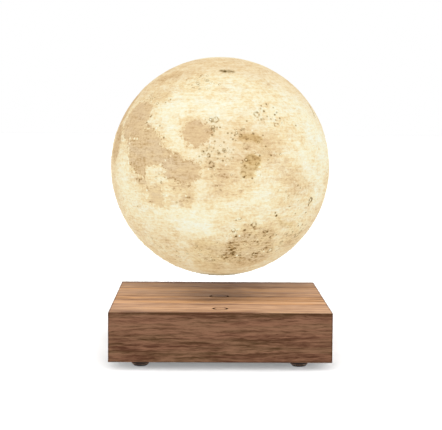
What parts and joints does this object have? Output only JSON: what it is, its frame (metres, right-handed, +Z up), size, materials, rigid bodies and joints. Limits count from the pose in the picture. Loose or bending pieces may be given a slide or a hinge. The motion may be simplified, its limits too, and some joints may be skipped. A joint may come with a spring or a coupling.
{
  "type": "levitating moon lamp",
  "caption": "Lit globe with the relief of the Moon, floating over a square walnut base that holds the magnets and the wireless supply.",
  "frame": {"origin": "on the floor under the middle of the base", "axes": "+Z up along the axis that the globe floats and turns on; -Y is the front, the side with the touch ring; +Y is the rear, the side with the supply inlet"},
  "size_m": [0.14, 0.14, 0.1893],
  "materials": {
    "walnut": "satin",
    "moon_print": "matte",
    "cap_print": "matte",
    "foot_rubber": "matte",
    "plate_plastic": "satin",
    "inlet_plastic": "satin",
    "frame_plastic": "satin",
    "bobbin_plastic": "satin",
    "tray_plastic": "satin",
    "carrier_plastic": "satin",
    "screw_steel": "satin",
    "core_iron": "satin",
    "yoke_steel": "satin",
    "ferrite": "matte",
    "magnet_nickel": "polished",
    "pin_nickel": "gloss",
    "copper_winding": "gloss",
    "touch_copper": "satin",
    "circuit_board": "satin",
    "led_board_white": "satin",
    "chip_resin": "satin",
    "capacitor_can": "satin",
    "post_aluminium": "satin",
    "led_phosphor": "satin"
  },
  "bodies": {
    "base": {"wooden_case": "walnut", "bottom_plate": "plate_plastic", "foot_front_left": "foot_rubber", "foot_front_right": "foot_rubber", "foot_rear_left": "foot_rubber", "foot_rear_right": "foot_rubber", "case_screw_front_left": "screw_steel", "case_screw_front_right": "screw_steel", "case_screw_rear_left": "screw_steel", "case_screw_rear_right": "screw_steel", "module_screw_1": "screw_steel", "module_screw_2": "screw_steel", "module_screw_3": "screw_steel", "module_screw_4": "screw_steel", "control_board": "circuit_board", "control_chip": "chip_resin", "coil_driver": "chip_resin", "supply_capacitor": "capacitor_can", "dc_jack": "inlet_plastic", "dc_jack_pin": "pin_nickel", "module_frame": "frame_plastic", "yoke_plate": "yoke_steel", "ring_magnet": "ferrite", "coil_core_1": "core_iron", "coil_core_2": "core_iron", "coil_core_3": "core_iron", "coil_core_4": "core_iron", "coil_bobbin_1": "bobbin_plastic", "coil_bobbin_2": "bobbin_plastic", "coil_bobbin_3": "bobbin_plastic", "coil_bobbin_4": "bobbin_plastic", "coil_winding_1": "copper_winding", "coil_winding_2": "copper_winding", "coil_winding_3": "copper_winding", "coil_winding_4": "copper_winding", "hall_board": "circuit_board", "coil_tray": "tray_plastic", "transmit_coil": "copper_winding", "touch_pad": "touch_copper"},
    "float": {"levitation_magnet": "magnet_nickel"},
    "moon": {"moon_shell": "moon_print", "bottom_cap": "cap_print", "coil_carrier": "carrier_plastic", "receiver_coil": "copper_winding", "driver_board": "circuit_board", "driver_chip": "chip_resin", "driver_inductor": "ferrite", "driver_capacitor": "capacitor_can", "driver_screw_1": "screw_steel", "driver_screw_2": "screw_steel", "led_post": "post_aluminium", "led_board": "led_board_white", "led_screw": "screw_steel", "led_1": "led_phosphor", "led_2": "led_phosphor", "led_3": "led_phosphor", "led_4": "led_phosphor", "led_5": "led_phosphor", "led_6": "led_phosphor"}
  },
  "joints": [
    {"name": "moon_lift", "type": "slide", "parent": "base", "child": "float", "axis": [0, 0, 1], "range_m": [-0.0137, 0.04], "stiffness_N_per_m": 150, "springref_m": 0.01357},
    {"name": "moon_spin", "type": "hinge", "parent": "float", "child": "moon", "pos_m": [0, 0, 0.1193], "axis": [0, 0, 1], "continuous": true}
  ]
}
